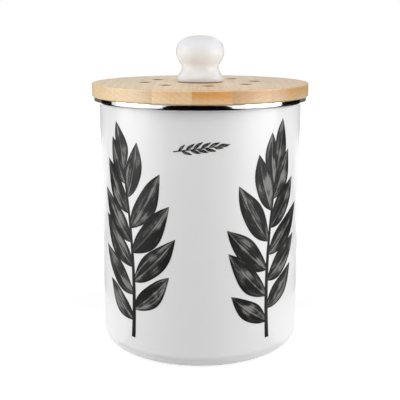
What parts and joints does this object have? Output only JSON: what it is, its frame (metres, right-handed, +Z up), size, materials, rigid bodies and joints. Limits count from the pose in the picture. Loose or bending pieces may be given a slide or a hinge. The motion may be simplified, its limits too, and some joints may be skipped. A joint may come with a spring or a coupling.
{
  "type": "compost caddy",
  "caption": "Round enamelled kitchen compost caddy with a steel rim and a vented wooden lift-off lid that has a ceramic knob, a seal and a charcoal filter.",
  "frame": {"origin": "centre of the flat foot ring that the caddy stands on", "axes": "+Z up along the canister's axis, -Y the front as pictured, +X its right-hand side"},
  "size_m": [0.168, 0.168, 0.2425],
  "materials": {
    "enamel": "glossy vitreous enamel",
    "steel_trim": "mirror-polished stainless steel",
    "beech": "satin lacquer",
    "silicone": "matt",
    "charcoal_felt": "matt felt",
    "spring_steel": "brushed",
    "zinc_steel": "bright zinc plate",
    "glazed_ceramic": "glossy glaze",
    "brass": "machined"
  },
  "bodies": {
    "caddy": {"body_shell": "enamel", "rim_trim": "steel_trim"},
    "lid": {"lid_stave_1": "beech", "lid_stave_2": "beech", "lid_stave_3": "beech", "lid_stave_4": "beech", "lid_stave_5": "beech", "lid_stave_6": "beech", "plug_ring": "beech", "plug_ring_screws": "zinc_steel", "lid_seal": "silicone", "charcoal_filter": "charcoal_felt", "clip_screws": "zinc_steel", "knob": "glazed_ceramic", "knob_insert": "brass", "knob_screw": "zinc_steel", "knob_washer": "zinc_steel"},
    "clip_1": {"filter_clip_1": "spring_steel"},
    "clip_2": {"filter_clip_2": "spring_steel"},
    "clip_3": {"filter_clip_3": "spring_steel"}
  },
  "joints": [
    {"name": "lid_lift", "type": "slide", "parent": "caddy", "child": "lid", "axis": [0, 0, 1], "range_m": [0, 0.15]},
    {"name": "clip_turn_1", "type": "hinge", "parent": "lid", "child": "clip_1", "pos_m": [0, 0.068, 0.186], "axis": [0, 0, 1], "range_deg": [-90, 90]},
    {"name": "clip_turn_2", "type": "hinge", "parent": "lid", "child": "clip_2", "pos_m": [-0.05889, -0.034, 0.186], "axis": [0, 0, 1], "range_deg": [-90, 90]},
    {"name": "clip_turn_3", "type": "hinge", "parent": "lid", "child": "clip_3", "pos_m": [0.05889, -0.034, 0.186], "axis": [0, 0, 1], "range_deg": [-90, 90]}
  ]
}
